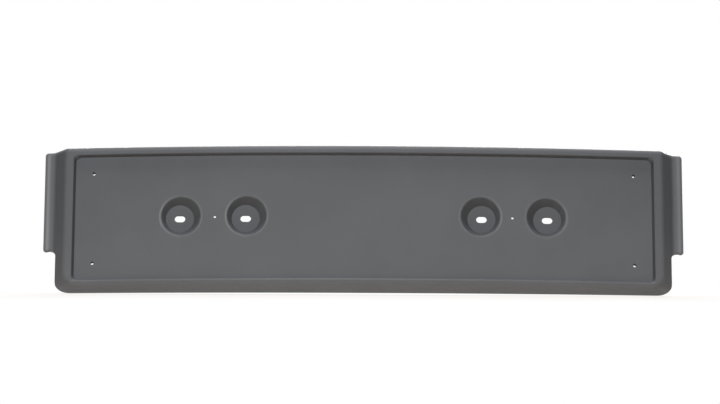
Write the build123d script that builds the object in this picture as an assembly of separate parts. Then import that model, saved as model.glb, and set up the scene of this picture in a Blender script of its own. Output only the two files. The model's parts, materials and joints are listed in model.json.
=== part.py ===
from build123d import *
import os
from math import atan, copysign, cos, degrees, radians, sqrt, tan

# Front number plate holder: one bowed, thin-walled moulding that is screwed to a bumper.
# Millimetres. X runs across the car, +Z is up and the plate faces -Y.
# The origin is midway between the inner screw slots, on the plane where their cups meet the bumper.

# Seat for the number plate, a shallow recess in the front
plate_width = 520
plate_height = 110
plate_end_gap = 0.7
plate_edge_gap = 1.75
seat_drop = 1.0
seat_depth = 5.6
seat_draft = 12
seat_end_draft = 18
seat_corner_round = 6.0
seat_lip_bevel = 0.5

# Curves seen from above
panel_bow_radius = 2550
bumper_radius = 3000
standoff = 14.5

# Shell
wall = 2.2
top_rim = 6.9
bottom_rim = 3.9
side_rim = 7.55
top_round = 3.0
rim_round = 5.2
side_flare = 36.8
bottom_flare = 27.5
skirt_corner_round = 16.0
skirt_gap = 7.0

# Wings at the two ends
wing_width = 11.8
wing_length = 91.2
wing_blend = 6.5
wing_tip_round = 3.0
notch_round = 5.5
notch_slope = 12

# Screw cups with slotted floors
inner_slot_spacing = 213
cup_pitch = 59.5
slot_length = 9.5
slot_width = 6.0
cup_floor_diameter = 25.4
cup_draft = 24
cup_lean = 5
cup_lip_bevel = 0.7

# Screw holes for the plate, four in bosses and two pilot holes
screw_end_inset = 16.5
screw_edge_inset = 15.3
screw_hole = 3.0
boss_diameter = 7.5
boss_depth = 7.0
pilot_offset = 27.5
pilot_hole = 2.2

# Places worked out from the sizes above
seat_half_width = plate_width / 2 + plate_end_gap
seat_half_height = plate_height / 2 + plate_edge_gap
seat_top = seat_half_height - seat_drop
seat_bottom = -seat_half_height - seat_drop
edge_spread = seat_depth * tan(radians(seat_draft))
end_spread = seat_depth * tan(radians(seat_end_draft))
top = seat_top + edge_spread + top_rim
front_bottom = seat_bottom - edge_spread - bottom_rim
rim_half_width = seat_half_width + end_spread + side_rim
notch_roof = top - wing_length
wing_foot = notch_roof - notch_round
wing_tip = notch_roof - wing_width * tan(radians(notch_slope))
far = plate_width / 4
bow_axis = Axis((0, panel_bow_radius, 0), (0, 0, 1))
bow_sweep = 2 * degrees(atan(plate_width / panel_bow_radius))


def arc_y(x, radius, nose):
    """Y of an arc that bulges to -Y, where nose is its Y on the centre line."""
    return nose + radius - sqrt(radius**2 - x**2)


def panel_y(x, behind=0):
    """Y of the panel's front, or of the surface that lies so far behind it."""
    return arc_y(x, panel_bow_radius - behind, behind)


def bumper_y(x, before=0):
    """Y of the bumper, or of the surface that lies so far in front of it."""
    return arc_y(x, bumper_radius + before, standoff - before)


rim_y = panel_y(rim_half_width, -seat_depth)
skirt_y = bumper_y(rim_half_width, skirt_gap)
skirt_half_width = rim_half_width + (skirt_y - rim_y) * tan(radians(side_flare))
half_width = skirt_half_width + wing_width


def both_sides(x, y, z):
    """A place and its mirror image across the centre plane."""
    return [(x, y, z), (-x, y, z)]


def nearest_edges(solid, places):
    """The edge of a solid nearest to each place."""
    return [solid.edges().sort_by_distance(place)[0] for place in places]


def upright(outline, low, high):
    """Prism between two heights over an outline seen from above."""
    return extrude(Plane.XY.offset(low) * make_face(outline), high - low)


def bowed(section):
    """Solid swept along the panel's bow from a section of (y, z) points on the centre line."""
    face = Plane.YZ * make_face(Polyline(*section, close=True))
    return revolve(face, bow_axis, bow_sweep).rotate(bow_axis, -bow_sweep / 2)


def behind_bumper(before, reach, low, high):
    """Block behind the bumper's curve, or behind the curve that lies so far in front of it."""
    end_y = bumper_y(reach, before)
    curve = ThreePointArc((-reach, end_y), (0, standoff - before), (reach, end_y))
    back = Polyline((reach, end_y), (reach, 2 * far), (-reach, 2 * far), (-reach, end_y))
    return upright(curve + back, low, high)


def tray(inset):
    """Solid inside the flared skirt and the front of the rim, drawn in by the inset on every face."""
    side = tan(radians(side_flare))
    drop = tan(radians(bottom_flare))
    nose = inset - seat_depth

    def low(y):
        return front_bottom - (y + seat_depth) * drop + inset / cos(radians(bottom_flare))

    def half(y):
        return rim_half_width + (y - rim_y) * side - inset / cos(radians(side_flare))

    body = bowed([(nose, low(nose)), (nose, top - inset), (far, top - inset), (far, low(far))])
    wedge = Polyline((half(-far), -far), (half(far), far), (-half(far), far), (-half(-far), -far), close=True)
    body = body & upright(wedge, -far, far)
    corner = (half(skirt_y), skirt_y, low(skirt_y - panel_y(half(skirt_y))))
    return fillet(nearest_edges(body, both_sides(*corner)), skirt_corner_round - inset)


def rim_edges(body):
    """Edges at the front of a tray's sides and bottom."""
    front = body.faces().sort_by(Axis.Y)[0]
    return front.edges().sort_by(Axis.Z)[:-1]


def recess(floor_y, edge, end, edge_draft, end_draft, corner_round):
    """Space in front of a bowed floor, where edge and end are its half sizes at the panel's front."""
    end_y = panel_y(seat_half_width)
    mouth = -2 * seat_depth

    def high(y):
        return edge - y * tan(radians(edge_draft))

    def half(y):
        return end + (end_y - y) * tan(radians(end_draft))

    top_corner = (mouth, high(mouth))
    bottom_corner = (mouth, -high(mouth))
    body = bowed([(floor_y, high(floor_y)), top_corner, bottom_corner, (floor_y, -high(floor_y))])
    ends = Polyline((half(-far), -far), (half(far), far), (-half(far), far), (-half(-far), -far), close=True)
    body = body & upright(ends, -far, far)
    lip_y = end_y - seat_depth
    lip = high(-seat_depth)
    corners = both_sides(half(lip_y), lip_y, lip) + both_sides(half(lip_y), lip_y, -lip)
    return Pos(0, 0, -seat_drop) * fillet(nearest_edges(body, corners), corner_round)


def seat(grow):
    """Recess for the plate, with its floor and walls moved outwards by the given amount."""
    edge = seat_half_height + grow / cos(radians(seat_draft))
    end = seat_half_width + grow / cos(radians(seat_end_draft))
    return recess(grow, edge, end, seat_draft, seat_end_draft, seat_corner_round + grow)


def seat_bevel():
    """Recess with sides at 45 degrees that takes the sharp edge off the lip of the seat."""
    edge = seat_half_height + edge_spread + seat_lip_bevel - seat_depth
    end = seat_half_width + end_spread + seat_lip_bevel - seat_depth
    return recess(2 * seat_lip_bevel - seat_depth, edge, end, 45, 45, seat_corner_round)


def notch(side):
    """Space below a wing, with a rounded inner corner and a roof that falls towards the tip."""
    reach = half_width + far
    fall = (reach - skirt_half_width) * tan(radians(notch_slope))
    outline = Polyline((skirt_half_width, notch_roof), (reach, notch_roof - fall), (reach, -far),
                       (skirt_half_width, -far), close=True)
    face = make_face(outline)
    inner = face.vertices().sort_by(Axis.Y)[-1]
    space = extrude(Plane.XZ * fillet(inner, notch_round), 2 * far, both=True)
    return space if side > 0 else mirror(space, Plane.YZ)


def outer_body():
    """The whole moulding before it is hollowed: rim, skirt and wings, with rounded edges."""
    everything = (half_width + far, -far, far)
    body = tray(0)
    body = fillet(rim_edges(body), rim_round) - behind_bumper(0, *everything)
    body = body + behind_bumper(wall, half_width, wing_foot, top)
    wing_y = bumper_y(skirt_half_width, wall)
    valley = rim_half_width + (wing_y - rim_y) * tan(radians(side_flare))
    body = fillet(nearest_edges(body, both_sides(valley, wing_y, 0)), wing_blend)
    body = fillet(nearest_edges(body, both_sides(half_width, far, top)), wing_tip_round)
    tip_y = bumper_y(half_width, wall)
    top_edges = body.faces().sort_by(Axis.Z)[-1].edges()
    body = fillet(top_edges.filter_by(lambda edge: edge.center().Y < tip_y), top_round)
    skirt_trim = behind_bumper(skirt_gap, *everything)
    body = body - notch(1) - notch(-1)
    body = fillet(nearest_edges(body, both_sides(half_width, far, wing_tip)), wing_tip_round)
    for side in (1, -1):
        end = Pos(side * (rim_half_width + far), 0, wing_foot + far)
        skirt_trim = skirt_trim - end * Box(2 * far, 4 * far, 2 * far)
    return body - behind_bumper(0, *everything) - skirt_trim


def facing_front(x, y, z):
    """Plane at a place that looks out of the plate's face."""
    return Plane(origin=(x, y, z), x_dir=(1, 0, 0), z_dir=(0, -1, 0))


def cup_ring(x, y, grow=0):
    """Middle and radius of a screw cup at a depth, where x is the middle of its floor."""
    ahead = bumper_y(x, wall) - y
    radius = cup_floor_diameter / 2 + ahead * tan(radians(cup_draft)) + grow / cos(radians(cup_draft))
    return x - copysign(ahead * tan(radians(cup_lean)), x), radius


def cup(x, grow, reach):
    """Inside of a screw cup, with floor and wall moved outwards, up to so far in front of the panel."""
    rings = []
    for y in (bumper_y(x, wall) + grow, panel_y(x) - reach):
        middle, radius = cup_ring(x, y, grow)
        rings.append(facing_front(middle, y, 0) * Circle(radius))
    return loft(rings, ruled=True)


def slot(x):
    """Slot through the floor of a screw cup."""
    shape = facing_front(x, bumper_y(x), 0) * SlotOverall(slot_length, slot_width)
    return extrude(shape, 2 * wall, both=True)


def peg(x, z, diameter, reach):
    """Round peg from the back of a boss up to so far in front of the panel."""
    shape = Cylinder(diameter / 2, boss_depth + reach, align=(Align.CENTER, Align.CENTER, Align.MIN))
    return facing_front(x, panel_y(x, boss_depth), z) * shape


def plate_holder():
    """The finished moulding."""
    inner_x = inner_slot_spacing / 2
    cups = [inner_x, -inner_x, inner_x + cup_pitch, -inner_x - cup_pitch]
    screw_x = seat_half_width - screw_end_inset
    screws = both_sides(screw_x, 0, seat_top - screw_edge_inset)
    screws += both_sides(screw_x, 0, seat_bottom + screw_edge_inset)

    hollow = tray(wall)
    hollow = chamfer(rim_edges(hollow), (rim_round - wall) / 2) - seat(wall)
    body = outer_body() - hollow
    for x in cups:
        body = body + cup(x, wall, 0)
    for x, y, z in screws:
        body = body + peg(x, z, boss_diameter, 0)
    body = body - seat(0) - seat_bevel()
    for x in cups:
        body = body - cup(x, 0, seat_depth) - slot(x)
    for x, y, z in screws:
        body = body - peg(x, z, screw_hole, seat_depth)
    for x, y, z in both_sides(inner_x + pilot_offset, 0, -seat_drop):
        body = body - peg(x, z, pilot_hole, seat_depth)

    rims = []
    for x in cups:
        middle, radius = cup_ring(x, panel_y(x))
        rims.append((middle, panel_y(middle), radius))
    body = chamfer(nearest_edges(body, rims), cup_lip_bevel)
    return Pos(0, -bumper_y(inner_x), 0) * body


os.makedirs("parts", exist_ok=True)
export_step(plate_holder(), "parts/plate_holder.step")
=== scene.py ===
import json
from math import cos, radians, sin

import bpy
from mathutils import Matrix, Vector

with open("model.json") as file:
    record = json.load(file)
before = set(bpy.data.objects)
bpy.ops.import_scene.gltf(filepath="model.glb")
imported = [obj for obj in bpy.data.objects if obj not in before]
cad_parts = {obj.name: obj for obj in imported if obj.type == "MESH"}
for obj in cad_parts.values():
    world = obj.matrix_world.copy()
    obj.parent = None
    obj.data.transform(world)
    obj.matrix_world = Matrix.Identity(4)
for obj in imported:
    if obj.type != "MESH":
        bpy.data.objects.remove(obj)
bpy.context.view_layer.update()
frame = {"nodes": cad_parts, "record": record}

# View of the photograph, in pixels, millimetres of sensor, metres and degrees
IMAGE_WIDTH = 720
FOCAL_PIXELS = 3289.5
SENSOR_WIDTH = 36.0
CAMERA_DISTANCE = 2.961
CAMERA_YAW = 0.10
CAMERA_ROLL = 0.23
LEAN = 13.84
AIM = Vector((-0.0033, -0.0164, 0.01244))

# Charcoal plastic, moulded in its own colour
CHARCOAL = (0.1090, 0.1130, 0.1220, 1)
CHARCOAL_DARK = (0.1020, 0.1054, 0.1133, 1)
CLOUDS_PER_METRE = 22
CLOUD_DETAIL = 3
CLOUD_RANGE = (0.3, 0.7)
PLASTIC_GLOSS = 0.05
GRAINS_PER_METRE = 900
GRAIN_DETAIL = 2
GRAIN_HEIGHT = 0.0002

# Grain of the seat and of the rim, with each pair of distances where one finish gives way to the next
SEAT_MIDDLE = -0.001
SEAT_HALF_WIDTH = (0.2620, 0.2628)
SEAT_HALF_HEIGHT = (0.0575, 0.0583)
SEAT_ROUGHNESS = 0.62
SEAT_GRAIN = 0.3
RIM_ROUGHNESS = 0.5
RIM_GRAIN = 0.12

# End walls of the seat, darkened by painted shade
END_WALL_FOOT = (0.2600, 0.2607)
END_WALL_LIP = (0.2622, 0.2627)
END_WALL_HALF_HEIGHT = (0.0550, 0.0575)
END_WALL_PAINTED_SHADE = 0.62

# Smooth skin on the wings, the top edge, the skirt, the seat's lower lip and the lips of the screw cups
SKIN_ROUGHNESS = 0.45
WING_START = (0.2790, 0.2815)
WING_SKIN = 1.0
TOP_EDGE_START = (0.0605, 0.0640)
TOP_EDGE_SKIN = 0.9
SKIRT_START = (-0.0605, -0.0640)
SKIRT_SKIN = 0.65
LOWER_LIP = -0.0582
LOWER_LIP_FADE = (0.0006, 0.0014)
LOWER_LIP_SKIN = 0.3
CUP_LIP_SKIN = 0.6
CUP_LIP_SHIFT = 0.0011
CUP_LIP_INSIDE = (0.0173, 0.0178)
CUP_LIP_OUTSIDE = (0.0188, 0.0200)
CUP_LIP_FADE = (0.007, 0.024)
MM_PER_METRE = 1000

# Warm white table that the holder stands on, leaning back
TABLE_COLOUR = (1.0, 0.87, 0.72, 1)
TABLE_HALF_WIDTH = 0.34
TABLE_LENGTH = 0.25
TABLE_GAP = 0.0005
TABLE_GLOW = 0.75
SHADOW_HALF_WIDTH = (0.27, 0.34)
SHADOW_REACH = (0.03, 0.16)

# Lamps and surroundings
WORLD_LEVEL = 0.01
KEY_PLACE = (0, -0.45, 1.5)
KEY_TARGET = (0, -0.25, -0.1)
KEY_SIZE = (0.9, 0.5)
KEY_WATTS = 12
FRONT_PLACE = (-0.15, -1.9, 0.2)
FRONT_SIZE = (0.6, 0.5)
FRONT_WATTS = 32
BACK_PLACE = (0.2, 1.8, 0.7)
BACK_SIZE = (1.4, 0.9)
BACK_WATTS = 60


def feed(tree, socket, value):
    """Link a node's output to a socket, or set a plain value on it."""
    if isinstance(value, bpy.types.NodeSocket):
        tree.links.new(value, socket)
    else:
        socket.default_value = value


def add_node(tree, kind, settings):
    """New node with its inputs fed by name."""
    node = tree.nodes.new(kind)
    for name, value in settings.items():
        feed(tree, node.inputs[name], value)
    return node


def compute(tree, operation, first, second):
    """Result of an operation on two numbers."""
    node = tree.nodes.new("ShaderNodeMath")
    node.operation = operation
    feed(tree, node.inputs[0], first)
    feed(tree, node.inputs[1], second)
    return node.outputs[0]


def blend(tree, share, start, end):
    """Number that goes from start to end as the share goes from 0 to 1."""
    ramp = add_node(tree, "ShaderNodeMapRange", {"Value": share, "To Min": start, "To Max": end})
    return ramp.outputs["Result"]


def beyond(tree, value, limits):
    """0 before the first limit and 1 past the second, whichever way they run."""
    start, end = limits
    ramp = add_node(tree, "ShaderNodeMapRange", {"Value": value, "From Min": start, "From Max": end})
    return ramp.outputs["Result"]


def past(tree, offset, limits):
    """0 near the middle and 1 past the limits on either side of it."""
    return beyond(tree, compute(tree, "ABSOLUTE", offset, 0), limits)


def outside(tree, across, half_width, along, half_length):
    """0 within a rectangle and 1 outside it."""
    return compute(tree, "MAXIMUM", past(tree, across, half_width), past(tree, along, half_length))


def between(tree, offset, start, end):
    """1 where the distance from the middle lies past the start and not past the end, 0 elsewhere."""
    return compute(tree, "SUBTRACT", past(tree, offset, start), past(tree, offset, end))


def opposite(tree, share):
    """What is left of 1."""
    return compute(tree, "SUBTRACT", 1, share)


def place_on_object(tree):
    """Place on an object, whole and by its three axes."""
    place = tree.nodes.new("ShaderNodeTexCoord").outputs["Object"]
    axes = add_node(tree, "ShaderNodeSeparateXYZ", {"Vector": place})
    return place, axes.outputs


def slot_places():
    """How far the slots in the screw cups lie from the middle of the holder."""
    mounts = frame["record"]["mounts"]
    slots = [mount["dims"] for mount in mounts if mount["name"].startswith("bumper_slots")]
    return [dims["spacing_x_mm"] / 2 / MM_PER_METRE for dims in slots]


def cup_lips(tree, across, upward):
    """1 at the sides of the screw cups' lips, less towards their tops and bottoms."""
    side = compute(tree, "ABSOLUTE", across, 0)
    spot = add_node(tree, "ShaderNodeCombineXYZ", {"X": side, "Z": upward}).outputs["Vector"]
    nearest = 1
    for slot_x in slot_places():
        distance = tree.nodes.new("ShaderNodeVectorMath")
        distance.operation = "DISTANCE"
        feed(tree, distance.inputs[0], spot)
        feed(tree, distance.inputs[1], (slot_x - CUP_LIP_SHIFT, 0, 0))
        nearest = compute(tree, "MINIMUM", nearest, distance.outputs["Value"])
    ring = between(tree, nearest, CUP_LIP_INSIDE, CUP_LIP_OUTSIDE)
    return compute(tree, "MULTIPLY", ring, opposite(tree, past(tree, upward, CUP_LIP_FADE)))


def lower_lip(tree, across, height):
    """1 along the lower lip of the seat, 0 elsewhere."""
    offset = compute(tree, "SUBTRACT", height, LOWER_LIP)
    return opposite(tree, outside(tree, across, SEAT_HALF_WIDTH, offset, LOWER_LIP_FADE))


def smooth_skin(tree, across, upward, height):
    """Weight of the smooth skin from place to place."""
    weight = blend(tree, cup_lips(tree, across, upward), 0, CUP_LIP_SKIN)
    weight = blend(tree, lower_lip(tree, across, height), weight, LOWER_LIP_SKIN)
    weight = blend(tree, beyond(tree, height, TOP_EDGE_START), weight, TOP_EDGE_SKIN)
    weight = blend(tree, beyond(tree, height, SKIRT_START), weight, SKIRT_SKIN)
    return blend(tree, past(tree, across, WING_START), weight, WING_SKIN)


def noise(tree, place, per_metre, detail):
    """Number that wanders from place to place."""
    settings = {"Vector": place, "Scale": per_metre, "Detail": detail}
    texture = add_node(tree, "ShaderNodeTexNoise", settings)
    return texture.outputs["Fac"]


def charcoal_tone(tree, place, end_walls):
    """Slightly cloudy charcoal, with painted shade darkening the end walls of the seat."""
    clouds = noise(tree, place, CLOUDS_PER_METRE, CLOUD_DETAIL)
    tone = add_node(tree, "ShaderNodeValToRGB", {"Fac": clouds})
    for stop, position, colour in zip(tone.color_ramp.elements, CLOUD_RANGE, (CHARCOAL_DARK, CHARCOAL)):
        stop.position = position
        stop.color = colour
    shaded = tree.nodes.new("ShaderNodeVectorMath")
    shaded.operation = "SCALE"
    feed(tree, shaded.inputs[0], tone.outputs["Color"])
    # Painted shade: the colour is scaled down on the seat's end walls
    feed(tree, shaded.inputs["Scale"], blend(tree, end_walls, 1, END_WALL_PAINTED_SHADE))
    return shaded.outputs["Vector"]


def fine_grain(tree, place, rim):
    """Fine moulded grain, coarser on the seat than on the rim."""
    grain = noise(tree, place, GRAINS_PER_METRE, GRAIN_DETAIL)
    strength = blend(tree, rim, SEAT_GRAIN, RIM_GRAIN)
    settings = {"Height": grain, "Strength": strength, "Distance": GRAIN_HEIGHT}
    relief = add_node(tree, "ShaderNodeBump", settings)
    return relief.outputs["Normal"]


def charcoal_plastic():
    """Matt, fine-grained plastic with a smoother skin on the outer edges and the lips, and painted
    shade on the seat's end walls.
    """
    material = bpy.data.materials.new("charcoal_plastic")
    material.use_nodes = True
    tree = material.node_tree
    plastic = tree.nodes["Principled BSDF"].inputs
    place, axes = place_on_object(tree)
    across = axes["X"]
    upward = axes["Z"]
    height = compute(tree, "SUBTRACT", upward, SEAT_MIDDLE)
    rim = outside(tree, across, SEAT_HALF_WIDTH, height, SEAT_HALF_HEIGHT)
    wall_ends = past(tree, height, END_WALL_HALF_HEIGHT)
    # Mask of the seat's end walls, where painted shade darkens the colour
    end_walls = between(tree, across, END_WALL_FOOT, END_WALL_LIP)
    end_walls = compute(tree, "MULTIPLY", end_walls, opposite(tree, wall_ends))

    feed(tree, plastic["Base Color"], charcoal_tone(tree, place, end_walls))
    feed(tree, plastic["Normal"], fine_grain(tree, place, rim))
    feed(tree, plastic["Roughness"], blend(tree, rim, SEAT_ROUGHNESS, RIM_ROUGHNESS))
    feed(tree, plastic["Specular IOR Level"], PLASTIC_GLOSS)
    feed(tree, plastic["Coat Weight"], smooth_skin(tree, across, upward, height))
    feed(tree, plastic["Coat Roughness"], SKIN_ROUGHNESS)
    return material


def seen_rays(tree):
    """1 for rays from the camera, reflections and clear materials, 0 for the rest."""
    rays = tree.nodes.new("ShaderNodeLightPath").outputs
    reflected = compute(tree, "MAXIMUM", rays["Is Glossy Ray"], rays["Is Transmission Ray"])
    return compute(tree, "MAXIMUM", rays["Is Camera Ray"], reflected)


def mix_shaders(tree, share, first, second):
    """Shader that goes from the first to the second as the share goes from 0 to 1."""
    mix = add_node(tree, "ShaderNodeMixShader", {"Fac": share})
    tree.links.new(first.outputs[0], mix.inputs[1])
    tree.links.new(second.outputs[0], mix.inputs[2])
    return mix


def white_paper():
    """Matt, warm white that shows a faint shadow beside the holder and is clear from below."""
    material = bpy.data.materials.new("white_paper")
    material.use_nodes = True
    tree = material.node_tree
    paper = tree.nodes["Principled BSDF"]
    feed(tree, paper.inputs["Base Color"], TABLE_COLOUR)
    feed(tree, paper.inputs["Roughness"], 1)
    feed(tree, paper.inputs["Specular IOR Level"], 0)
    glow = add_node(tree, "ShaderNodeEmission", {"Color": (1, 1, 1, 1), "Strength": 1})
    axes = place_on_object(tree)[1]
    away = outside(tree, axes["X"], SHADOW_HALF_WIDTH, axes["Y"], SHADOW_REACH)
    share = compute(tree, "MULTIPLY", seen_rays(tree), blend(tree, away, TABLE_GLOW, 1))
    from_above = mix_shaders(tree, share, paper, glow)
    clear = tree.nodes.new("ShaderNodeBsdfTransparent")
    from_below = tree.nodes.new("ShaderNodeNewGeometry").outputs["Backfacing"]
    surface = mix_shaders(tree, from_below, from_above, clear)
    tree.links.new(surface.outputs[0], tree.nodes["Material Output"].inputs["Surface"])
    return material


def white_table():
    """White table under the leaning holder, parallel to the camera's line of sight."""
    ahead = Vector((0, cos(radians(LEAN)), sin(radians(LEAN))))
    up = Vector((0, -ahead.z, ahead.y))
    lowest = min(up.dot(corner.co) for corner in holder.data.vertices)
    bpy.ops.object.select_all(action="DESELECT")
    bpy.ops.mesh.primitive_plane_add(size=1)
    table = bpy.context.object
    table.name = "table"
    stretch = Matrix.Diagonal((2 * TABLE_HALF_WIDTH, TABLE_LENGTH, 1, 1))
    turn = Matrix.Rotation(radians(LEAN), 4, "X")
    move = Matrix.Translation(up * (lowest - TABLE_GAP) - ahead * TABLE_LENGTH / 2)
    table.data.transform(move @ turn @ stretch)
    table.data.materials.append(white_paper())


def softbox(name, place, size, watts, target=(0, 0, 0)):
    """Rectangular lamp that faces a target."""
    lamp = bpy.data.lights.new(name, "AREA")
    lamp.shape = "RECTANGLE"
    lamp.size, lamp.size_y = size
    lamp.energy = watts
    stand = bpy.data.objects.new(name, lamp)
    stand.location = place
    stand.rotation_euler = (Vector(target) - Vector(place)).to_track_quat("-Z", "Y").to_euler()
    stand.visible_camera = False
    bpy.context.collection.objects.link(stand)


def studio_world():
    """White where it is seen, dim as a light."""
    world = bpy.data.worlds.new("studio")
    world.use_nodes = True
    tree = world.node_tree
    background = tree.nodes["Background"].inputs
    feed(tree, background["Color"], (1, 1, 1, 1))
    feed(tree, background["Strength"], blend(tree, seen_rays(tree), WORLD_LEVEL, 1))
    bpy.context.scene.world = world


def photo_camera():
    """Camera that looks along the table, and so up at the leaning face."""
    pitch = radians(LEAN)
    yaw = radians(CAMERA_YAW)
    roll = radians(CAMERA_ROLL)
    ahead = Vector((sin(yaw) * cos(pitch), cos(yaw) * cos(pitch), sin(pitch)))
    level_right = Vector((cos(yaw), -sin(yaw), 0))
    level_up = level_right.cross(ahead)
    right = cos(roll) * level_right + sin(roll) * level_up
    up = cos(roll) * level_up - sin(roll) * level_right
    turn = Matrix((right, up, -ahead)).transposed()
    camera = bpy.data.objects.new("camera", bpy.data.cameras.new("camera"))
    camera.data.sensor_width = SENSOR_WIDTH
    camera.data.lens = FOCAL_PIXELS * SENSOR_WIDTH / IMAGE_WIDTH
    camera.matrix_world = Matrix.Translation(AIM - CAMERA_DISTANCE * ahead) @ turn.to_4x4()
    bpy.context.collection.objects.link(camera)
    bpy.context.scene.camera = camera


holder = frame["nodes"]["plate_holder"]
holder.material_slots[0].material = charcoal_plastic()
white_table()
softbox("key_softbox", KEY_PLACE, KEY_SIZE, KEY_WATTS, KEY_TARGET)
softbox("front_softbox", FRONT_PLACE, FRONT_SIZE, FRONT_WATTS)
softbox("back_softbox", BACK_PLACE, BACK_SIZE, BACK_WATTS)
studio_world()
photo_camera()
bpy.context.scene.view_settings.view_transform = "Standard"
